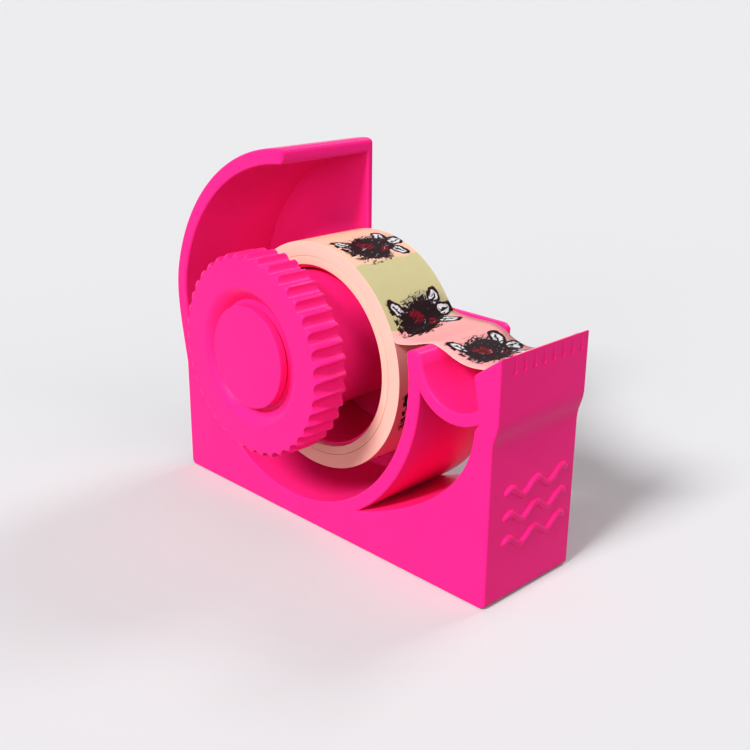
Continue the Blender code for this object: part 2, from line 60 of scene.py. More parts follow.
camera = bpy.data.objects.new("camera", bpy.data.cameras.new("camera"))
camera.data.lens = CAMERA_LENS
camera.data.sensor_width = SENSOR_WIDTH
camera.data.clip_start = CAMERA_NEAREST
turn = Matrix.Rotation(math.radians(CAMERA_HEADING), 4, "Z")
turn = turn @ Matrix.Rotation(math.radians(90 + CAMERA_PITCH), 4, "X")
turn = turn @ Matrix.Rotation(math.radians(CAMERA_ROLL), 4, "Z")
camera.matrix_world = Matrix.Translation(CAMERA_PLACE) @ turn
bpy.context.scene.collection.objects.link(camera)
bpy.context.scene.camera = camera

# Body. One moulding in hot pink plastic: a block that cradles the roll, a hood over it, a thin wall
# on the far side, a curved arm with the ridge that the tape crosses, and a head with the cutting edge.
# The near part and the far wall are drawn flat, side by side, and drawn out to their thicknesses.

# Walls, corners and roundings.
SIDE_WALL = 0.0015
REAR_WALL = 0.002
FRONT_WALL = 0.003
BOTTOM_CORNER = 0.001
EDGE_ROUNDING = 0.0004
FAR_ROUNDING = 0.001
ROUNDING_STEPS = 4
SHARP_ANGLE = 40
SLIVER = 0.000001
# The cradle, and behind it a crease and a flat facet that leads up to the back's inner face.
CRADLE_RADIUS = 0.028
ARM_THICKNESS = 0.0025
CREASE_ANGLE = -117
FACET_ANGLE = -145
FACET_DEPTH = 0.0016
# The hood, and the back, which is upright at the foot and swells out under the hood.
HOOD_THICKNESS = 0.0027
HOOD_STEP = 0.0026
HOOD_TIP_SETBACK = 0.00156
HOOD_TIP_REACH = 0.0008
TAPER_HEIGHT = 0.006
REAR_UPRIGHT_DROP = 0.01075
REAR_INNER_DROP = 0.00525
REAR_OUTER_HANDLE = (-0.0014, 0.008)
REAR_INNER_HANDLE = (-0.0008, 0.004)
SWELL_ANGLE = 165
SWELL_OUTER_HANDLE = 0.006
SWELL_INNER_HANDLE = 0.005
# The ridge on the curved arm, and the fence: the far wall's upper edge, from the ridge to the hood.
RIDGE_RISE = 0.00595
RIDGE_WIDTH = 0.00325
RIDGE_ROUNDING = 0.0011
RIDGE_FALL = 0.0014
FENCE_RISE = 0.0006
FENCE_SETBACK = 0.0014
FENCE_START_ANGLE = 30
# The open dip between the ridge and the head, and the horn-shaped hole under it.
DIP_RADIUS = 0.0068
DIP_DROP = 0.0005
DIP_THICKNESS = 0.0022
HORN_TIP_ANGLE = -56.6
HORN_TIP_HANDLE = (0.0098, 0.0032)
HORN_FRONT_DROP = 0.0009
HORN_FRONT_HANDLE = (-0.0003, -0.012)
HORN_CORNER_DROP = 0.0005
HORN_STEPS = 34
HORN_CUT = 12
# The head: the flare on its front, the cutting edge, and the slope behind it.
CUTTER_OVERHANG = 0.001
CUTTER_RISE = 0.0031
CUTTER_ROUNDING = 0.0002
SLOPE_DEPTH = 0.005
SLOPE_ANGLE = 36.5
HEAD_HEIGHT = 0.0094
FLARE_HEIGHT = 0.0061
# The plastic: nearly plain, with faint clouds in its colour, a satin sheen and the mould's fine grain.
PLASTIC_COLOUR = (0.98, 0.020, 0.235)
PLASTIC_DEEP = (0.94, 0.015, 0.212)
PLASTIC_SHINE = 0.09
PLASTIC_SHINE_COLOUR = (1, 0.35, 0.65, 1)


def at(centre, radius, degrees):
    """The (x, z) point at an angle on a circle about a centre."""
    angle = math.radians(degrees)
    return centre[0] + radius * math.cos(angle), centre[1] + radius * math.sin(angle)


def arc(centre, radius, start, end, steps):
    return [at(centre, radius, start + (end - start) * i / steps) for i in range(steps + 1)]


def sweep(start, start_handle, end_handle, end, steps):
    """Points on a curve. Each handle is an offset from its end."""
    start, end = Vector(start), Vector(end)
    knots = [start, start + Vector(start_handle), end + Vector(end_handle), end]
    return [tuple(point) for point in interpolate_bezier(*knots, steps + 1)]


def bearing(centre, point):
    return math.degrees(math.atan2(point[1] - centre[1], point[0] - centre[0])) % 360


def beside(centre, radius, height, side):
    """Where a circle passes a height, on its +X side or its -X side."""
    return centre[0] + side * math.sqrt(radius**2 - (height - centre[1]) ** 2), height


def below(centre, radius, x):
    """The lower point of a circle at a place along X."""
    return x, centre[1] - math.sqrt(radius**2 - (x - centre[0]) ** 2)


def turning_place(name):
    """A point on the line that a joint turns about."""
    return Vector(next(joint["pos_m"] for joint in frame["joints"] if joint["name"] == name))


axle = turning_place("knob_turn")
body_low, body_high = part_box("body")
near, far, front = body_low.y, body_high.y, body_high.x - CUTTER_OVERHANG
rear = -front
hub = (axle.x, axle.z)
ridge_height = hub[1] + RIDGE_RISE
shoulder_height = ridge_height - RIDGE_ROUNDING
shoulder = beside(hub, CRADLE_RADIUS, shoulder_height, 1)
ridge_front = (shoulder[0] + RIDGE_WIDTH, shoulder_height)
fence_height = ridge_height + FENCE_RISE
dip_height = ridge_height - DIP_DROP
dip = (ridge_front[0] + math.sqrt(DIP_RADIUS**2 - (shoulder_height - dip_height) ** 2), dip_height)
wall_back = front - FRONT_WALL
hood_inner = CRADLE_RADIUS + HOOD_STEP
hood_outer = hood_inner + HOOD_THICKNESS
tip_x = hub[0] - HOOD_TIP_SETBACK
cutting_edge = (front + CUTTER_OVERHANG, ridge_height + CUTTER_RISE)


def front_line(cut):
    """From a point on the front up over the flare and the cutting edge, to where the slope behind it ends."""
    flare_end = cutting_edge[1] - HEAD_HEIGHT
    flare_start = (front, flare_end - FLARE_HEIGHT)
    half = FLARE_HEIGHT / 2
    line = [cut] + sweep(flare_start, (0, half), (0, -half), (cutting_edge[0], flare_end), steps=14)
    slope = SLOPE_DEPTH / math.cos(math.radians(SLOPE_ANGLE))
    return line + [cutting_edge, at(cutting_edge, slope, SLOPE_ANGLE + 180)]


def pocket_line():
    """The edge of what lies open towards the knob, from the dip over the ridge and round to the hood's tip."""
    ridge_foot = beside(dip, DIP_RADIUS, ridge_height - RIDGE_FALL, -1)
    lean = bearing(hub, shoulder)
    crown = arc(at(shoulder, RIDGE_ROUNDING, lean), RIDGE_ROUNDING, 90, lean + 180, steps=5)
    line = sweep(ridge_foot, (-RIDGE_FALL / 2, RIDGE_FALL), (RIDGE_FALL, 0), crown[0], steps=6)[:-1]
    line += crown[:-1]
    line += arc(hub, CRADLE_RADIUS, lean, CREASE_ANGLE, steps=72)
    facet_radius = CRADLE_RADIUS + FACET_DEPTH
    facet = at(hub, facet_radius, FACET_ANGLE)
    inner_x = rear + REAR_WALL
    line += sweep(
        facet,
        (-facet_radius / 12, facet_radius / 12),
        (0, -facet_radius / 8),
        (inner_x, facet[1] + facet_radius / 4),
        steps=8,
    )
    swell = at(hub, hood_inner, SWELL_ANGLE)
    handle = at((0, 0), SWELL_INNER_HANDLE, SWELL_ANGLE + 90)
    line += sweep((inner_x, hub[1] - REAR_INNER_DROP), REAR_INNER_HANDLE, handle, swell, steps=14)
    tip = (tip_x, hub[1] + math.sqrt(hood_inner**2 - HOOD_TIP_SETBACK**2))
    return line + arc(hub, hood_inner, SWELL_ANGLE, bearing(hub, tip), steps=30)[1:]


def hood_and_rear():
    """From the hood's tip over its top and down the back."""
    top = (tip_x, hub[1] + math.sqrt(hood_outer**2 - HOOD_TIP_SETBACK**2))
    line = arc(hub, hood_outer, bearing(hub, top), SWELL_ANGLE, steps=30)
    swell = at(hub, hood_outer, SWELL_ANGLE)
    handle = at((0, 0), SWELL_OUTER_HANDLE, SWELL_ANGLE + 90)
    down = sweep((rear, hub[1] - REAR_UPRIGHT_DROP), REAR_OUTER_HANDLE, handle, swell, steps=18)
    return line + down[-2::-1] + [(rear, TAPER_HEIGHT)]


def horn_line():
    """The hole under the dip, shaped like a horn: its upper line from the tip, and its lower line back."""
    arm, under = CRADLE_RADIUS + ARM_THICKNESS, DIP_RADIUS + DIP_THICKNESS
    apart = math.dist(hub, dip)
    half = math.degrees(math.acos((arm**2 + apart**2 - under**2) / (2 * arm * apart)))
    top = at(hub, arm, bearing(hub, dip) - half)
    line = arc(hub, arm, HORN_TIP_ANGLE, bearing(hub, top) - 360 * (bearing(hub, top) > 180), HORN_STEPS)
    corner = below(dip, under, wall_back)
    line += arc(dip, under, bearing(dip, top), bearing(dip, corner), steps=24)[1:]
    low = (corner[0] - HORN_CORNER_DROP, corner[1] - HORN_FRONT_DROP)
    lower = sweep(low, HORN_FRONT_HANDLE, HORN_TIP_HANDLE, line[0], HORN_STEPS)
    return line + lower[:HORN_CUT + 1], lower[HORN_CUT:]


def drawn(form, points, y):
    """A flat face inside a closed line of (x, z) points. Points that are already there are used again."""
    verts = []
    for x, z in points:
        place = Vector((x, y, z))
        there = [vert for vert in form.verts if (vert.co - place).length < SLIVER]
        verts.append(there[0] if there else form.verts.new(place))
    edges = [form.edges.get(pair) or form.edges.new(pair) for pair in zip(verts, verts[1:] + verts[:1])]
    return bmesh.ops.contextual_create(form, geom=edges)["faces"]


def drawn_out(form, faces, distance):
    """Extrudes faces along Y and gives back the faces at the new end."""
    rims = list({edge for face in faces for edge in face.edges})
    made = bmesh.ops.extrude_face_region(form, geom=faces + rims)["geom"]
    moving = [item for item in made if isinstance(item, bmesh.types.BMVert)]
    bmesh.ops.translate(form, vec=(0, distance, 0), verts=moving)
    return [item for item in made if isinstance(item, bmesh.types.BMFace)]


def new_piece(name, form, material, body, *nodes):
    """Makes an object of a bmesh, hangs it on its body, and hides the CAD pieces that it stands for."""
    mesh = bpy.data.meshes.new(name)
    form.to_mesh(mesh)
    form.free()
    mesh.materials.append(material)
    mesh.shade_smooth()
    piece = bpy.data.objects.new(name, mesh)
    bpy.context.scene.collection.objects.link(piece)
    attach(piece, body)
    if nodes:
        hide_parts(*nodes)
    return piece


def settle(piece):
    """Makes a piece's modifiers part of its mesh."""
    graph = bpy.context.evaluated_depsgraph_get()
    mesh = bpy.data.meshes.new_from_object(piece.evaluated_get(graph))
    piece.modifiers.clear()
    piece.data = mesh


def evened(piece, angle=SHARP_ANGLE):
    """Keeps edges sharp past an angle, and lets large faces set the shading of small ones beside them."""
    piece.data.shade_smooth()
    piece.data.set_sharp_from_angle(angle=math.radians(angle))
    even = piece.modifiers.new("even shading", "WEIGHTED_NORMAL")
    even.keep_sharp = True
    even.weight = 100
    settle(piece)


class Sock:
    """A shader socket that takes part in sums. A Python number in a sum is written into the node."""

    def __init__(self, tree, socket):
        self.tree, self.socket = tree, socket

    def node(self, kind, settings=None, out=0, **inputs):
        """Adds a node: its settings first, then its inputs, by name or by number as i0 and i1."""
        made = self.tree.nodes.new(kind)
        for name, value in (settings or {}).items():
            if name == "stops":
                fill_ramp(made.color_ramp, value)
            else:
                setattr(made, name, value)
        for name, value in inputs.items():
            target = made.inputs[int(name[1:])] if name[1:].isdigit() else made.inputs[name.replace("_", " ")]
            if isinstance(value, Sock):
                self.tree.links.new(value.socket, target)
            else:
                target.default_value = value
        return Sock(self.tree, made.outputs[out])

    def other(self, out):
        """Another output of the same node."""
        return Sock(self.tree, self.socket.node.outputs[out])

    def maths(self, operation, *values):
        values = {f"i{i}": value for i, value in enumerate(values)}
        return self.node("ShaderNodeMath", {"operation": operation}, **values)

    def __add__(self, other):
        return self.maths("ADD", self, other)

    def __sub__(self, other):
        return self.maths("SUBTRACT", self, other)

    def __rsub__(self, other):
        return self.maths("SUBTRACT", other, self)

    def __mul__(self, other):
        return self.maths("MULTIPLY", self, other)

    def __truediv__(self, other):
        return self.maths("DIVIDE", self, other)

    __radd__, __rmul__ = __add__, __mul__


def fill_ramp(ramp, stops):
    """Sets a colour ramp's stops from (place, colour) pairs."""
    while len(ramp.elements) < len(stops):
        ramp.elements.new(1)
    for element, (place, colour) in zip(ramp.elements, stops):
        element.position = place
        element.color = (*colour, 1)


def new_material(name, roughness, **constants):
    """A Principled material. Returns it, its shader and a socket to start expressions from."""
    material = bpy.data.materials.new(name)
    material.use_nodes = True
    tree = material.node_tree
    shader = tree.nodes["Principled BSDF"]
    shader.inputs["Roughness"].default_value = roughness
    for socket, value in constants.items():
        shader.inputs[socket.replace("_", " ")].default_value = value
    return material, shader, Sock(tree, None)


def mixed(factor, first, second):
    """Two colours mixed by a factor. The Mix node's colours are its inputs 6 and 7 and its output 2."""
    settings = {"data_type": "RGBA"}
    first, second = (value if isinstance(value, Sock) else (*value, 1) for value in (first, second))
    return factor.node("ShaderNodeMix", settings, out=2, i0=factor, i6=first, i7=second)


def connect(value, shader, name):
    value.tree.links.new(value.socket, shader.inputs[name])


pink_plastic, shader, start = new_material(
    "pink_plastic", 0.4, Specular_IOR_Level=PLASTIC_SHINE, Specular_Tint=PLASTIC_SHINE_COLOUR
)
where = start.node("ShaderNodeTexCoord", out="Object")
cloud = start.node("ShaderNodeTexNoise", Vector=where, Scale=90.0, Detail=3.0)
grain = start.node("ShaderNodeTexNoise", Vector=where, Scale=1400.0, Detail=2.0)
peel = start.node("ShaderNodeTexNoise", Vector=where, Scale=420.0, Detail=2.0)
connect(mixed(cloud, PLASTIC_DEEP, PLASTIC_COLOUR), shader, "Base Color")
connect(0.25 + 0.08 * cloud + 0.06 * grain, shader, "Roughness")
relief = 0.7 * peel + 0.3 * grain
connect(start.node("ShaderNodeBump", Height=relief, Strength=0.12, Distance=0.0003), shader, "Normal")

# The side view is drawn as two faces that meet at the horn, because a face can't have a hole in it.
# A material index of 1 marks them until they are drawn out. The face that only the far wall has is marked 0.
form = bmesh.new()
upper_horn, lower_horn = horn_line()
front_cut, foot_cut = (front, lower_horn[0][1]), (upper_horn[0][0], 0)
pocket = pocket_line()
dip_front = below(dip, DIP_RADIUS, wall_back)
outline = front_line(front_cut)
outline += arc(dip, DIP_RADIUS, bearing(dip, dip_front), bearing(dip, pocket[0]), steps=32)[:-1]
outline += pocket + hood_and_rear()
outline += arc((rear + BOTTOM_CORNER, BOTTOM_CORNER), BOTTOM_CORNER, 180, 270, steps=5) + [foot_cut]
full_width = drawn(form, outline + upper_horn, far)
foot = [foot_cut] + arc((front - BOTTOM_CORNER, BOTTOM_CORNER), BOTTOM_CORNER, 270, 360, steps=5) + [front_cut]
full_width += drawn(form, foot + lower_horn, far)
for face in full_width:
    face.material_index = 1
fence = arc(dip, DIP_RADIUS, bearing(dip, pocket[0]), bearing(dip, ridge_front), steps=2)[1:]
fence_corner = (ridge_front[0] - FENCE_SETBACK, shoulder_height)
fence += arc(fence_corner, fence_height - shoulder_height, FENCE_START_ANGLE, 90, steps=8)
fence.append((tip_x, fence_height))
wall_only = drawn(form, fence + pocket[::-1], far)
wall_only[0].material_index = 0
far_line = [edge for edge in form.edges if len(edge.link_faces) == 2 and wall_only[0] in edge.link_faces]
far_line = [edge for edge in far_line if full_width[0] in edge.link_faces]
slab = drawn_out(form, full_width + wall_only, -SIDE_WALL)
drawn_out(form, [face for face in slab if face.material_index], near - far + SIDE_WALL)
for face in form.faces:
    face.material_index = 0
bmesh.ops.dissolve_edges(form, edges=far_line, use_verts=True)
bmesh.ops.recalc_face_normals(form, faces=form.faces)

# Every outer edge is rounded: softly round the hood and the back, and hardly at all at the cutting edge.
weights = form.edges.layers.float.new("bevel_weight_edge")
for edge in form.edges:
    a, b = (vert.co for vert in edge.verts)
    middle = (a + b) / 2
    if edge.calc_face_angle(0) < math.radians(SHARP_ANGLE) or not edge.is_convex:
        continue
    under_tip = abs(middle.x - tip_x) < SLIVER
    over_fence = middle.z > fence_height
    if abs(a.y - b.y) > SIDE_WALL / 2:
        rounding = CUTTER_ROUNDING if middle.x > front else EDGE_ROUNDING
        if over_fence and under_tip:
            rounding = FAR_ROUNDING
    elif under_tip and abs(middle.y - far + SIDE_WALL) < SLIVER:
        rounding = CUTTER_ROUNDING
    elif middle.y > far - SIDE_WALL / 2 and middle.x < tip_x + HOOD_TIP_REACH and middle.z > TAPER_HEIGHT:
        rounding = FAR_ROUNDING
    elif middle.y < 0 and abs(a.x - b.x) < EDGE_ROUNDING and over_fence and middle.x > rear / 2:
        rounding = FAR_ROUNDING
    else:
        rounding = EDGE_ROUNDING
    edge[weights] = rounding / FAR_ROUNDING
body_moulding = new_piece("body_moulding", form, pink_plastic, "body", "body")
bevel = body_moulding.modifiers.new("rounded edges", "BEVEL")
bevel.limit_method = "WEIGHT"
bevel.width = FAR_ROUNDING
bevel.segments = ROUNDING_STEPS
bevel.use_clamp_overlap = False
settle(body_moulding)

# Teeth. Eight small points moulded with the head, which tear the tape at the cutting edge.
# The grooves between them are thin, run down the front of the head and end in small round hollows.
TEETH = 8
TEETH_NEAR_MARGIN = 0.0022
TEETH_FAR_MARGIN = 0.0009
TOOTH_FOOT = 0.00055
TOOTH_DEPTH = 0.00042
TOOTH_LENGTH = 0.0025
TOOTH_OVERRUN = 0.0008
TOOTH_TAPER = 0.6
TOOTH_NECK = 8


def combine(target, form, operation):
    """Joins a bmesh to a piece, or cuts it from the piece."""
    mesh = bpy.data.meshes.new("other")
    bmesh.ops.recalc_face_normals(form, faces=form.faces)
    form.to_mesh(mesh)
    form.free()
    mesh.shade_smooth()
    other = bpy.data.objects.new("other", mesh)
    bpy.context.scene.collection.objects.link(other)
    boolean = target.modifiers.new("combine", "BOOLEAN")
    boolean.operation = operation
    boolean.solver = "EXACT"
    boolean.object = other
    settle(target)
    bpy.data.objects.remove(other)


# Each cutter is a ball whose upper half is drawn up into a stem. A higher power gives a thinner stem.
teeth = bmesh.new()
pitch = (far - near - TEETH_NEAR_MARGIN - TEETH_FAR_MARGIN) / TEETH
for i in range(TEETH):
    made = bmesh.ops.create_uvsphere(teeth, u_segments=16, v_segments=10, radius=TOOTH_FOOT)["verts"]
    bmesh.ops.scale(teeth, vec=(TOOTH_DEPTH / TOOTH_FOOT, 1, 1), verts=made)
    for vert in made:
        rise = vert.co.z / TOOTH_FOOT
        if rise > 0:
            vert.co.x *= 1 - TOOTH_TAPER * rise
            vert.co.z = rise**TOOTH_NECK * (TOOTH_LENGTH + TOOTH_OVERRUN)
    place = (cutting_edge[0], near + TEETH_NEAR_MARGIN + pitch * (i + 1 / 2), cutting_edge[1] - TOOTH_LENGTH)
    bmesh.ops.translate(teeth, vec=place, verts=made)
combine(body_moulding, teeth, "DIFFERENCE")

# Boss. A short tube on the inner face of the far wall, moulded with the body. It holds the pin's end,
# and so carries the knob and the drum.
PIN_BORE = 0.0033
BOSS_WALL = 0.0022
BOSS_LENGTH = 0.006
BOSS_SINK = 0.0008
BOSS_ROUNDING = 0.0003


def turned(profile, centre, steps, closed=True):
    """Turns a line of (radius, y) points about the Y line through a centre."""
    form = bmesh.new()
    verts = [form.verts.new((centre.x + radius, y, centre.z)) for radius, y in profile]
    edges = [form.edges.new(pair) for pair in zip(verts, verts[1:])]
    if closed:
        edges.append(form.edges.new((verts[-1], verts[0])))
    bmesh.ops.spin(
        form, geom=verts + edges, cent=centre, axis=(0, 1, 0), angle=2 * math.pi, steps=steps, use_merge=True
    )
    bmesh.ops.remove_doubles(form, verts=form.verts, dist=SLIVER)
    bmesh.ops.recalc_face_normals(form, faces=form.faces)
    return form


def soften(form, offset, segments=3):
    """Rounds every sharp edge of a bmesh."""
    sharp = [edge for edge in form.edges if edge.calc_face_angle(0) > math.radians(SHARP_ANGLE)]
    bmesh.ops.bevel(
        form, geom=sharp, offset=offset, segments=segments, profile=0.5, affect="EDGES", material=-1
    )


boss_root = far - SIDE_WALL
boss = turned(
    [
        (PIN_BORE + BOSS_WALL, boss_root + BOSS_SINK),
        (PIN_BORE + BOSS_WALL, boss_root - BOSS_LENGTH),
        (PIN_BORE, boss_root - BOSS_LENGTH),
        (PIN_BORE, boss_root + BOSS_SINK),
    ],
    axle, steps=64,
)
soften(boss, BOSS_ROUNDING)
combine(body_moulding, boss, "UNION")
evened(body_moulding)

# Waves. Three raised ribs on the front, moulded with the body in the same plastic.
# Each is a round rod with tapered ends, and more than half of its thickness is sunk in the face.
WAVES = 3
WAVES_HEIGHT = 0.014
WAVE_PITCH = 0.0042
WAVE_NEAR_MARGIN = 0.00355
WAVE_FAR_MARGIN = 0.00195
WAVE_SWING = 0.0009
WAVE_CYCLES = 2.5
WAVE_ROD = 0.00075
WAVE_RISE = 0.00045
WAVE_END = 0.0011
WAVE_TIP = 0.0001
WAVE_STEPS = 96
curve = bpy.data.curves.new("waves", "CURVE")
curve.dimensions = "3D"
curve.bevel_depth = WAVE_ROD
curve.bevel_resolution = 4
curve.use_fill_caps = True
width = far - near - WAVE_NEAR_MARGIN - WAVE_FAR_MARGIN
for index in range(WAVES):
    spline = curve.splines.new("POLY")
    spline.points.add(WAVE_STEPS)
    height = WAVES_HEIGHT + WAVE_PITCH * (index - (WAVES - 1) / 2)
    for i, point in enumerate(spline.points):
        share = i / WAVE_STEPS
        swing = WAVE_SWING * math.sin(2 * math.pi * WAVE_CYCLES * share)
        point.co = (front + WAVE_RISE - WAVE_ROD, near + WAVE_NEAR_MARGIN + width * share, height + swing, 1)
        end = min(1, width * min(share, 1 - share) / WAVE_END)
        point.radius = math.sqrt(max(WAVE_TIP, 1 - (1 - end) ** 2))
guide = bpy.data.objects.new("wave_guide", curve)
bpy.context.scene.collection.objects.link(guide)
form = bmesh.new()
graph = bpy.context.evaluated_depsgraph_get()
form.from_mesh(bpy.data.meshes.new_from_object(guide.evaluated_get(graph)))
bpy.data.objects.remove(guide)
bmesh.ops.remove_doubles(form, verts=form.verts, dist=SLIVER)
bmesh.ops.recalc_face_normals(form, faces=form.faces)
front_waves = new_piece("front_waves", form, pink_plastic, "body")

# Drum. A smooth hollow tube in the same plastic, on which the roll hangs. The web at its knob end
# turns on the pin, and its far end runs free round the boss.
DRUM_RADIUS = 0.0121
DRUM_WALL = 0.0016
DRUM_WEB = 0.002
DRUM_ROUNDING = 0.0003
drum_low, drum_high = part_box("drum")
drum = turned(
    [
        (PIN_BORE, drum_low.y),
        (DRUM_RADIUS, drum_low.y),
        (DRUM_RADIUS, drum_high.y),
        (DRUM_RADIUS - DRUM_WALL, drum_high.y),
        (DRUM_RADIUS - DRUM_WALL, drum_low.y + DRUM_WEB),
        (PIN_BORE, drum_low.y + DRUM_WEB),
    ],
    axle, steps=160,
)
soften(drum, DRUM_ROUNDING)
drum_tube = new_piece("drum_tube", drum, pink_plastic, "knob", "drum")
evened(drum_tube)

# Knob. A thick wheel in the same plastic, with grooves round its rim for the fingers and a soft dish
# in its face. It is one moulding, and the drum's end seats in its back.
KNOB_RADIUS = 0.0174
KNOB_FACE_RADIUS = 0.01655
KNOB_BEVEL = 0.0009
KNOB_BEVEL_STEPS = 12
KNOB_SIDE_STEPS = 4
KNOB_BACK_BEVEL = 0.0003
KNOB_SHARP_ANGLE = 50
# The radius and the depth of points on the dish's line, from the gutter round the pin's head out to the face.
DISH = (
    (0.0087, 0.0014), (0.0089, 0.0019), (0.0095, 0.0019), (0.0099, 0.0014),
    (0.0105, 0.0008), (0.0111, 0.00035), (0.0116, 0.0001), (0.0120, 0.0),
)
SEAT_DEPTH = 0.0015
SEAT_GAP = 0.0003
GROOVES = 40
GROOVE_RADIUS = 0.00118
GROOVE_DEPTH = 0.00092
GROOVE_END = 0.0002
GROOVE_STEPS = 16


def rolled_edge(inner, outer, face, depth, steps):
    """A quarter turn of (radius, y) points, from a face over its edge to its side."""
    edge = []
    for i in range(steps + 1):
        angle = math.radians(90 * i / steps)
        edge.append((inner + (outer - inner) * math.sin(angle), face + depth * (1 - math.cos(angle))))
    return edge


knob_low, knob_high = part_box("knob")
knob_front, knob_back = knob_low.y, knob_high.y
profile = [(PIN_BORE, knob_front + DISH[0][1])]
profile += [(radius, knob_front + depth) for radius, depth in DISH]
profile += rolled_edge(KNOB_FACE_RADIUS, KNOB_RADIUS, knob_front, KNOB_BEVEL, KNOB_BEVEL_STEPS)
side_start = profile[-1][1]
side_length = knob_back - KNOB_BACK_BEVEL - side_start
profile += [
    (KNOB_RADIUS, side_start + side_length * i / KNOB_SIDE_STEPS) for i in range(1, KNOB_SIDE_STEPS + 1)
]
profile += [
    (KNOB_RADIUS - KNOB_BACK_BEVEL, knob_back),
    (DRUM_RADIUS + SEAT_GAP, knob_back),
    (DRUM_RADIUS + SEAT_GAP, knob_back - SEAT_DEPTH),
    (PIN_BORE, knob_back - SEAT_DEPTH),
]
knob = turned(profile, axle, GROOVES * GROOVE_STEPS)

# The grooves are round flutes, pressed into the turned rim. Each ends round at the knob's face.
for vert in knob.verts:
    out = Vector((vert.co.x - axle.x, vert.co.z - axle.z))
    share = math.atan2(out.y, out.x) / (2 * math.pi) * GROOVES % 1
    aside = (share - 0.5) * 2 * math.pi * KNOB_RADIUS / GROOVES
    ahead = max(0, knob_front + GROOVE_END - vert.co.y)
    cut = GROOVE_RADIUS**2 - aside**2 - ahead**2
    floor_radius = KNOB_RADIUS + GROOVE_RADIUS - GROOVE_DEPTH - math.sqrt(max(0, cut))
    if cut > 0 and out.length > max(floor_radius, KNOB_FACE_RADIUS - GROOVE_DEPTH):
        out = out.normalized() * floor_radius
        vert.co.x, vert.co.z = axle.x + out.x, axle.z + out.y
knob_wheel = new_piece("knob_wheel", knob, pink_plastic, "knob", "knob")
evened(knob_wheel, KNOB_SHARP_ANGLE)

# Pin. A round pin with a wide flat head, moulded in the same plastic. It goes through the knob and the
# drum into the boss, and its head is the disc that shows in the knob's dish.
PIN_RADIUS = 0.003
PIN_END_BEVEL = 0.0005
PIN_HEAD_RADIUS = 0.0088
PIN_FACE_RADIUS = 0.0086
PIN_HEAD_THICKNESS = 0.0014
pin_low, pin_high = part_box("axle_pin")
profile = [(0, pin_low.y)]
profile += rolled_edge(PIN_FACE_RADIUS, PIN_HEAD_RADIUS, pin_low.y, PIN_HEAD_THICKNESS / 6, steps=6)
profile += [
    (PIN_HEAD_RADIUS, pin_low.y + PIN_HEAD_THICKNESS),
    (PIN_RADIUS, pin_low.y + PIN_HEAD_THICKNESS),
    (PIN_RADIUS, pin_high.y - PIN_END_BEVEL),
    (PIN_RADIUS - PIN_END_BEVEL, pin_high.y),
    (0, pin_high.y),
]
pin = turned(profile, axle, steps=160, closed=False)
pin_head = new_piece("pin_head", pin, pink_plastic, "axle", "axle_pin")
evened(pin_head)

# Liner. A thin tube in the same pink plastic, pressed into the roll's card core. It slips on the drum,
# and its near end is set back a little from the card's.
LINER_INNER = 0.0157
LINER_OUTER = 0.0162
LINER_SETBACK = 0.0007
LINER_ROUNDING = 0.0001
roll_axis = turning_place("roll_turn")
roll_low, roll_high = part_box("tape_roll")


def tube(inner, outer, near_face, far_face, rounding):
    form = turned(
        [(inner, near_face), (outer, near_face), (outer, far_face), (inner, far_face)], roll_axis, steps=192
    )
    soften(form, rounding, segments=2)
    return form


liner = tube(LINER_INNER, LINER_OUTER, roll_low.y + LINER_SETBACK, roll_high.y, LINER_ROUNDING)
core_liner = new_piece("core_liner", liner, pink_plastic, "roll", "core_sleeve")
evened(core_liner)

# Core. A tube of plain card, glued up in layers, with the tape wound straight onto it.
# Its pale end shows as a ring inside the tape's.
CORE_INNER = 0.01625
CORE_OUTER = 0.01775
CORE_ROUNDING = 0.00015
CARD_PALE = (0.92, 0.55, 0.44)
CARD_DARK = (0.78, 0.42, 0.33)
core_card, shader, start = new_material("core_card", 0.85, Specular_IOR_Level=0.2)
where = start.node("ShaderNodeTexCoord", out="Object")
fibres = start.node("ShaderNodeTexNoise", Vector=where, Scale=700.0, Detail=4.0, Distortion=0.8)
blotches = start.node("ShaderNodeTexNoise", Vector=where, Scale=150.0, Detail=2.0)
connect(mixed(0.6 * fibres + 0.4 * blotches, CARD_PALE, CARD_DARK), shader, "Base Color")
connect(0.78 + 0.12 * fibres, shader, "Roughness")
connect(start.node("ShaderNodeBump", Height=fibres, Strength=0.3, Distance=0.0001), shader, "Normal")

core = tube(CORE_INNER, CORE_OUTER, roll_low.y, roll_high.y, CORE_ROUNDING)
core_ring = new_piece("core_ring", core, core_card, "roll", "paper_core")
evened(core_ring)

# Winding. Washi tape wound on the core: thin paper, gummed on its back and printed on its outer face.
# The print is a pen-drawn blossom with leaves, in millimetres along and across the tape, repeated on
# grounds of three colours. The winding's ends are the edges of its layers, in a material of their own.
ROLL_RADIUS = 0.0203
WINDING_INNER = 0.01776
WINDING_ROUNDING = 0.00012
WINDING_SKIN = 0.00008
PRINT_UNIT = 1000
PRINT_MOTIFS = 8
PRINT_PITCH = 2 * math.pi * ROLL_RADIUS * PRINT_UNIT / PRINT_MOTIFS
PRINT_ZERO_ANGLE = 20
PRINT_FIRST = 2.9
PRINT_MIDDLE = 2.1
PEN_SHAKE = 1.6
GROUND_START = -30.0
GROUND_MOTIFS = 4
PINK_GROUND = (0.79, 0.33, 0.32)
KHAKI_GROUND = (0.48, 0.43, 0.225)
PEACH_GROUND = (0.78, 0.45, 0.33)
GROUND_STOPS = (
    (0.0, PINK_GROUND), (0.494, PINK_GROUND), (0.5, KHAKI_GROUND), (0.7, KHAKI_GROUND),
    (0.706, PEACH_GROUND), (0.994, PEACH_GROUND), (1.0, PINK_GROUND),
)
INK = (0.012, 0.004, 0.006)
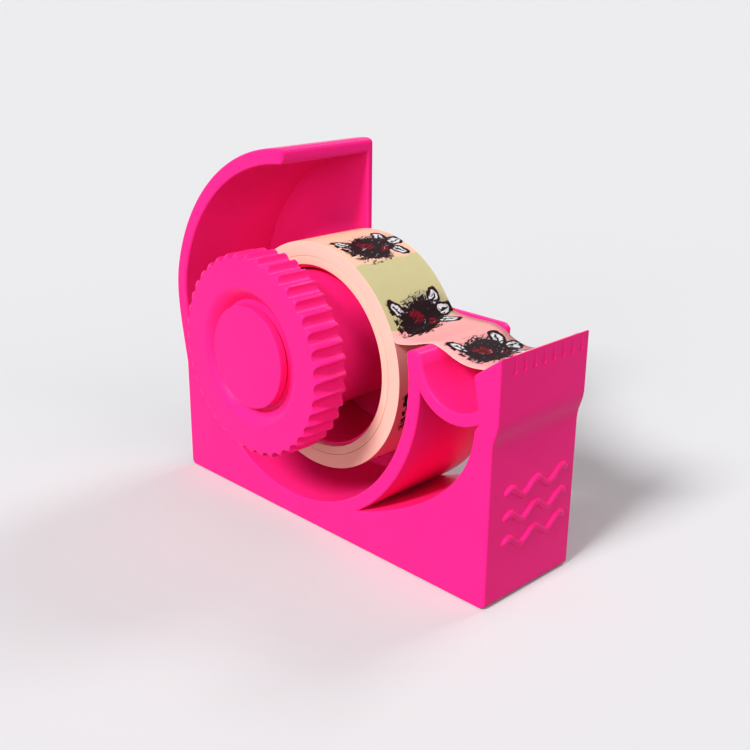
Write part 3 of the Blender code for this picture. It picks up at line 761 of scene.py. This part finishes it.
RED_INK = (0.17, 0.004, 0.012)
GREY_INK = (0.16, 0.16, 0.17)
LEAF_FILL = (0.6, 0.6, 0.62)
LEAF_PEN = 0.24
VEIN_PEN = 0.17
# The ovals that the motif is built on: each one's middle, its half sizes and how it leans.
LEAVES = (
    ((3.6, 2.6), (1.9, 1.15), 58), ((5.1, 0.4), (1.8, 1.05), 8),
    ((4.0, -2.3), (1.7, 0.95), -42), ((-5.0, 2.2), (1.8, 1.0), 128),
)
BLOSSOM = ((-0.9, -0.1), (4.7, 3.3), 14)
SHADE = ((0.4, 0.9), (6.0, 3.3), 8)
HEART = ((-1.6, 0.4), (2.1, 1.2), -20)
PETAL = ((1.5, -1.2), (1.2, 0.8), 30)
EDGE_CREAM = (0.9, 0.52, 0.42)
EDGE_ROSE = (0.83, 0.43, 0.37)


def leaning(across, along, centre, lean):
    """Coordinates about a point of the print, turned by an angle."""
    turn = math.radians(lean)
    a, b = across - centre[0], along - centre[1]
    return a * math.cos(turn) + b * math.sin(turn), b * math.cos(turn) - a * math.sin(turn)


def oval(across, along, centre, size, lean):
    """How far out a place of the print lies from an oval's middle. It is 1 on the outline."""
    a, b = leaning(across, along, centre, lean)
    a, b = a / size[0], b / size[1]
    return across.maths("SQRT", a * a + b * b)


def within(distance, edge, soft):
    """A mask that is 1 inside an outline and 0 outside it."""
    settings = {"interpolation_type": "SMOOTHSTEP"}
    return distance.node(
        "ShaderNodeMapRange", settings,
        Value=distance, From_Min=edge - soft, From_Max=edge + soft, To_Min=1.0, To_Max=0.0,
    )


def stroke(distance, width):
    """A mask for a pen line where a distance passes zero."""
    return within(distance.maths("ABSOLUTE", distance), width, width * 0.35)


def either(first, second):
    """Where one mask or the other is set."""
    return first.maths("MAXIMUM", first, second)


# Places on the print, shaken as by a loose hand. Each motif has its middle at a rise of 0.
washi_paper, shader, start = new_material("washi_paper", 0.62, Specular_IOR_Level=0.05)
place = start.node("ShaderNodeUVMap", {"uv_map": "print"})
along = start.node("ShaderNodeSeparateXYZ", Vector=place)
across = along.other("Y")
shake = start.node("ShaderNodeTexNoise", out="Color", Vector=place, Scale=0.6, Detail=2.0)
shake = shake.node("ShaderNodeSeparateColor", Color=shake)
along = along + PEN_SHAKE * (shake - 0.5)
across = across - PRINT_MIDDLE + PEN_SHAKE * (shake.other("Green") - 0.5)
turns = (along - PRINT_FIRST) / PRINT_PITCH
motif = turns.maths("ROUND", turns)
rise = (turns - motif) * PRINT_PITCH
ground = (along - GROUND_START) / (GROUND_MOTIFS * PRINT_PITCH)
ground = ground.node("ShaderNodeValToRGB", {"stops": GROUND_STOPS}, Fac=ground.maths("FRACT", ground))

# Pen strands that run slantwise through a motif, and ragged edges for its blots.
strands = start.node(
    "ShaderNodeCombineXYZ", X=across * 0.55 + rise * 0.3, Y=rise * 2.6 - across * 0.9, Z=motif * 7.0
)
strands = start.node("ShaderNodeTexNoise", Vector=strands, Scale=1.0, Detail=3.0)
ragged = start.node("ShaderNodeTexNoise", Vector=place, Scale=1.7, Detail=3.0)

# A grey shade, leaves with their veins, a black blossom with a red heart and petal, pale flecks and dashes.
shade = within(oval(across, rise, *SHADE) + 1.2 * (strands - 0.5), 0.95, 0.25)
colour = mixed(0.55 * shade, ground, GREY_INK)
for centre, size, lean in LEAVES:
    leaf = oval(across, rise, centre, size, lean)
    vein = leaning(across, rise, centre, lean)[1]
    colour = mixed(within(leaf, 1.0, 0.08), colour, LEAF_FILL)
    pen = either(stroke(leaf - 1.0, LEAF_PEN), stroke(vein, VEIN_PEN) * within(leaf, 0.6, 0.1))
    colour = mixed(pen, colour, INK)
blossom = oval(across, rise, *BLOSSOM) + 0.8 * (ragged - 0.5)
ink = either(within(blossom, 1.0, 0.05), within(blossom, 1.25, 0.1) * within(strands, 0.47, 0.03))
colour = mixed(ink, colour, INK)
heart = oval(across, rise, *HEART) + 0.8 * (ragged - 0.5)
petal = oval(across, rise, *PETAL) + 0.8 * (strands - 0.5)
red = either(within(heart, 0.8, 0.15), within(petal, 0.8, 0.15))
colour = mixed(red * within(strands, 0.53, 0.06), colour, RED_INK)
colour = mixed(0.6 * within(strands, 0.33, 0.02) * within(blossom, 0.9, 0.1), colour, LEAF_FILL)
dash = (rise * 0.62).maths("FRACT", rise * 0.62)
beside_it = stroke(across + 6.2 + 0.18 * rise, 0.42) * stroke(rise - 0.3, 3.0) * within(dash, 0.62, 0.08)
under_it = stroke(rise + 3.4 + 0.12 * across, 0.26) * stroke(across + 2.2, 3.2)
colour = mixed(either(beside_it, under_it), colour, INK)

# The paper itself: long fibres and a cloudy pulp, a little shinier under the ink.
where = start.node("ShaderNodeTexCoord", out="Object")
fibres = start.node("ShaderNodeTexNoise", Vector=where, Scale=900.0, Detail=4.0, Roughness=0.65, Distortion=1.5)
pulp = start.node("ShaderNodeTexNoise", Vector=where, Scale=160.0, Detail=2.0)
worn = 0.93 + 0.1 * pulp + 0.05 * fibres
worn = start.node("ShaderNodeCombineXYZ", X=worn, Y=worn, Z=worn)
multiply = {"data_type": "RGBA", "blend_type": "MULTIPLY"}
connect(start.node("ShaderNodeMix", multiply, out=2, i0=1.0, i6=colour, i7=worn), shader, "Base Color")
connect(0.62 + 0.1 * fibres - 0.14 * ink, shader, "Roughness")
connect(start.node("ShaderNodeBump", Height=fibres, Strength=0.12, Distance=0.00015), shader, "Normal")

tape_edges, shader, start = new_material("tape_edges", 0.75, Specular_IOR_Level=0.25)
where = start.node("ShaderNodeTexCoord", out="Object")
from_axis = start.node("ShaderNodeVectorMath", {"operation": "SUBTRACT"}, i0=where, i1=tuple(roll_axis))
flat = start.node("ShaderNodeVectorMath", {"operation": "MULTIPLY"}, i0=from_axis, i1=(1, 0, 1))
radius = start.node("ShaderNodeVectorMath", {"operation": "LENGTH"}, out="Value", i0=flat)
layers = start.node("ShaderNodeCombineXYZ", X=radius * 4200.0)
layers = start.node("ShaderNodeTexNoise", Vector=layers, Scale=1.0, Detail=3.0)
blotches = start.node("ShaderNodeTexNoise", Vector=where, Scale=190.0, Detail=3.0)
connect(mixed(0.55 * layers + 0.45 * blotches, EDGE_CREAM, EDGE_ROSE), shader, "Base Color")
connect(0.7 + 0.1 * blotches, shader, "Roughness")
connect(start.node("ShaderNodeBump", Height=layers, Strength=0.25, Distance=0.0001), shader, "Normal")

winding = tube(WINDING_INNER, ROLL_RADIUS, roll_low.y, roll_high.y, WINDING_ROUNDING)
uv = winding.loops.layers.uv.new("print")
for face in winding.faces:
    middle = face.calc_center_median() - roll_axis
    face.material_index = 0 if math.hypot(middle.x, middle.z) > ROLL_RADIUS - WINDING_SKIN else 1
    reference = bearing((0, 0), (middle.x, middle.z))
    for loop in face.loops:
        out = loop.vert.co - roll_axis
        beyond = (bearing((0, 0), (out.x, out.z)) - reference + 180) % 360 - 180
        angle = math.radians((reference + (180 - PRINT_ZERO_ANGLE)) % 360 - 180 + beyond)
        loop[uv].uv = (ROLL_RADIUS * angle * PRINT_UNIT, loop.vert.co.y * PRINT_UNIT)
wound_tape = new_piece("wound_tape", winding, washi_paper, "roll", "tape_roll")
wound_tape.data.materials.append(tape_edges)
evened(wound_tape)

# Loose end. The same tape, from where it leaves the winding along a slanted line, over the ridge and
# the dip, and up the head's slope to the cutting edge, where it sticks. It is one sheet between its
# near and far edges, which takes its thickness last.
TAIL_THICKNESS = 0.00015
TAIL_STEPS = 8
PEEL_NEAR = 21.2
PEEL_FAR = 28.4
# How high the first points lie over the winding's face, and how many degrees before the place where it peels.
HELD_POINTS = ((-0.00012, 6), (-0.00003, 3), (0.00008, 0.8))
# The (x, z) points that the two edges pass from there to the cutting edge.
NEAR_EDGE_LINE = (
    (0.0138, 0.03665), (0.0153, 0.0368), (0.0175, 0.0373), (0.0200, 0.0381),
    (0.0218, 0.0385), (0.0240, 0.0380), (0.0265, 0.0371), (0.0288, 0.0367),
    (0.0311, 0.0368), (0.0336, 0.0374), (0.0360, 0.03925), (0.0382, 0.04085),
)
FAR_EDGE_LINE = (
    (0.0128, 0.0388), (0.0145, 0.0386), (0.0170, 0.0385), (0.0198, 0.0386),
    (0.0218, 0.0386), (0.0238, 0.0380), (0.0260, 0.0369), (0.0285, 0.0363),
    (0.0311, 0.0366), (0.0336, 0.0374), (0.0360, 0.03925), (0.0382, 0.04085),
)


def flowing(points, steps):
    """A smooth line through points, with even steps between each two."""
    knots = [Vector(point) for point in points]
    knots = [2 * knots[0] - knots[1]] + knots + [2 * knots[-1] - knots[-2]]
    line = [knots[1]]
    for a, b, c, d in zip(knots, knots[1:], knots[2:], knots[3:]):
        line += interpolate_bezier(b, b + (c - a) / 6, c - (d - b) / 6, c, steps + 1)[1:]
    return line


tail = bmesh.new()
roll_hub = (roll_axis.x, roll_axis.z)
print_places = {}
for line, y, peel in ((NEAR_EDGE_LINE, roll_low.y, PEEL_NEAR), (FAR_EDGE_LINE, roll_high.y, PEEL_FAR)):
    held = [at(roll_hub, ROLL_RADIUS + lift, peel + ahead) for lift, ahead in HELD_POINTS]
    line = flowing(held + list(line), TAIL_STEPS)
    along = ROLL_RADIUS * math.radians(peel + HELD_POINTS[0][1] - PRINT_ZERO_ANGLE)
    row = []
    for i, point in enumerate(line):
        along -= (point - line[i - 1]).length if i else 0
        row.append(tail.verts.new((point.x, y, point.y)))
        print_places[row[-1]] = (along * PRINT_UNIT, y * PRINT_UNIT)
    for pair in zip(row, row[1:]):
        tail.edges.new(pair)
made = bmesh.ops.bridge_loops(tail, edges=tail.edges)["faces"]
uv = tail.loops.layers.uv.new("print")
for face in made:
    for loop in face.loops:
        loop[uv].uv = print_places[loop.vert]
across_tail = [edge for edge in tail.edges if abs(edge.verts[0].co.y - edge.verts[1].co.y) > SIDE_WALL]
bmesh.ops.subdivide_edges(tail, edges=across_tail, cuts=7, use_grid_fill=True)
bmesh.ops.recalc_face_normals(tail, faces=tail.faces)
tape_tail = new_piece("tape_tail", tail, washi_paper, "body", "tape_end")
tape_tail.data.materials.append(tape_edges)
solid = tape_tail.modifiers.new("thickness", "SOLIDIFY")
solid.material_offset = 1
solid.material_offset_rim = 1
solid.thickness = TAIL_THICKNESS
solid.offset = 0
settle(tape_tail)

# Floor and lights. A wide pale sheet under the object and four broad lamps, as in a small studio: a
# key above the near side, a fill before the front, a low one for the hollows, and one behind.
# The floor and the sky look paler than the soft light that they give, which keeps the hollows deep.
FLOOR_REACH = 12
FLOOR_COLOUR = (0.62, 0.62, 0.635, 1)
FLOOR_BOUNCE = (0.15, 0.15, 0.153, 1)
SKY_WHITE = (1, 1, 1, 1)
SKY_SEEN = 0.87
SKY_LIGHT = 0.25
# Each lamp's name, where it shines from, its spread in degrees and its strength.
LAMPS = (
    ("key_light", (0.04, -0.78, 0.625), 16, 1.17),
    ("fill_light", (0.92, -0.12, 0.37), 50, 0.32),
    ("low_light", (0.28, -0.95, 0.14), 30, 0.27),
    ("back_light", (0.02, 0.72, 0.69), 20, 0.32),
)


def looked_at(start):
    """A mask that is 1 where the camera looks, also by way of a shine or a clear part, and 0 for soft light."""
    path = start.node("ShaderNodeLightPath", out="Is Camera Ray")
    return path + path.other("Is Glossy Ray") + path.other("Is Transmission Ray")


form = bmesh.new()
bmesh.ops.create_grid(form, x_segments=1, y_segments=1, size=FLOOR_REACH)
mesh = bpy.data.meshes.new("floor")
form.to_mesh(mesh)
form.free()
floor = bpy.data.objects.new("floor", mesh)
bpy.context.scene.collection.objects.link(floor)
pale_floor, shader, start = new_material("pale_floor", 0.8, Specular_IOR_Level=0.0, Base_Color=FLOOR_COLOUR)
dim = start.node("ShaderNodeBsdfDiffuse", Color=FLOOR_BOUNCE)
pale = start.node("ShaderNodeMixShader", i0=looked_at(start), i1=dim, i2=Sock(start.tree, shader.outputs[0]))
start.tree.links.new(pale.socket, start.tree.nodes["Material Output"].inputs[0])
mesh.materials.append(pale_floor)

for name, towards, spread, strength in LAMPS:
    light = bpy.data.lights.new(name, "SUN")
    light.angle = math.radians(spread)
    light.energy = strength * math.pi
    lamp = bpy.data.objects.new(name, light)
    lamp.rotation_euler = Vector(towards).to_track_quat("Z", "Y").to_euler()
    bpy.context.scene.collection.objects.link(lamp)

world = bpy.data.worlds.new("studio")
bpy.context.scene.world = world
world.use_nodes = True
start = Sock(world.node_tree, None)
dim = start.node("ShaderNodeBackground", Color=SKY_WHITE, Strength=SKY_LIGHT)
pale = start.node("ShaderNodeBackground", Color=SKY_WHITE, Strength=SKY_SEEN)
sky = start.node("ShaderNodeMixShader", i0=looked_at(start), i1=dim, i2=pale)
world.node_tree.links.new(sky.socket, world.node_tree.nodes["World Output"].inputs[0])
bpy.context.scene.view_settings.view_transform = "Standard"
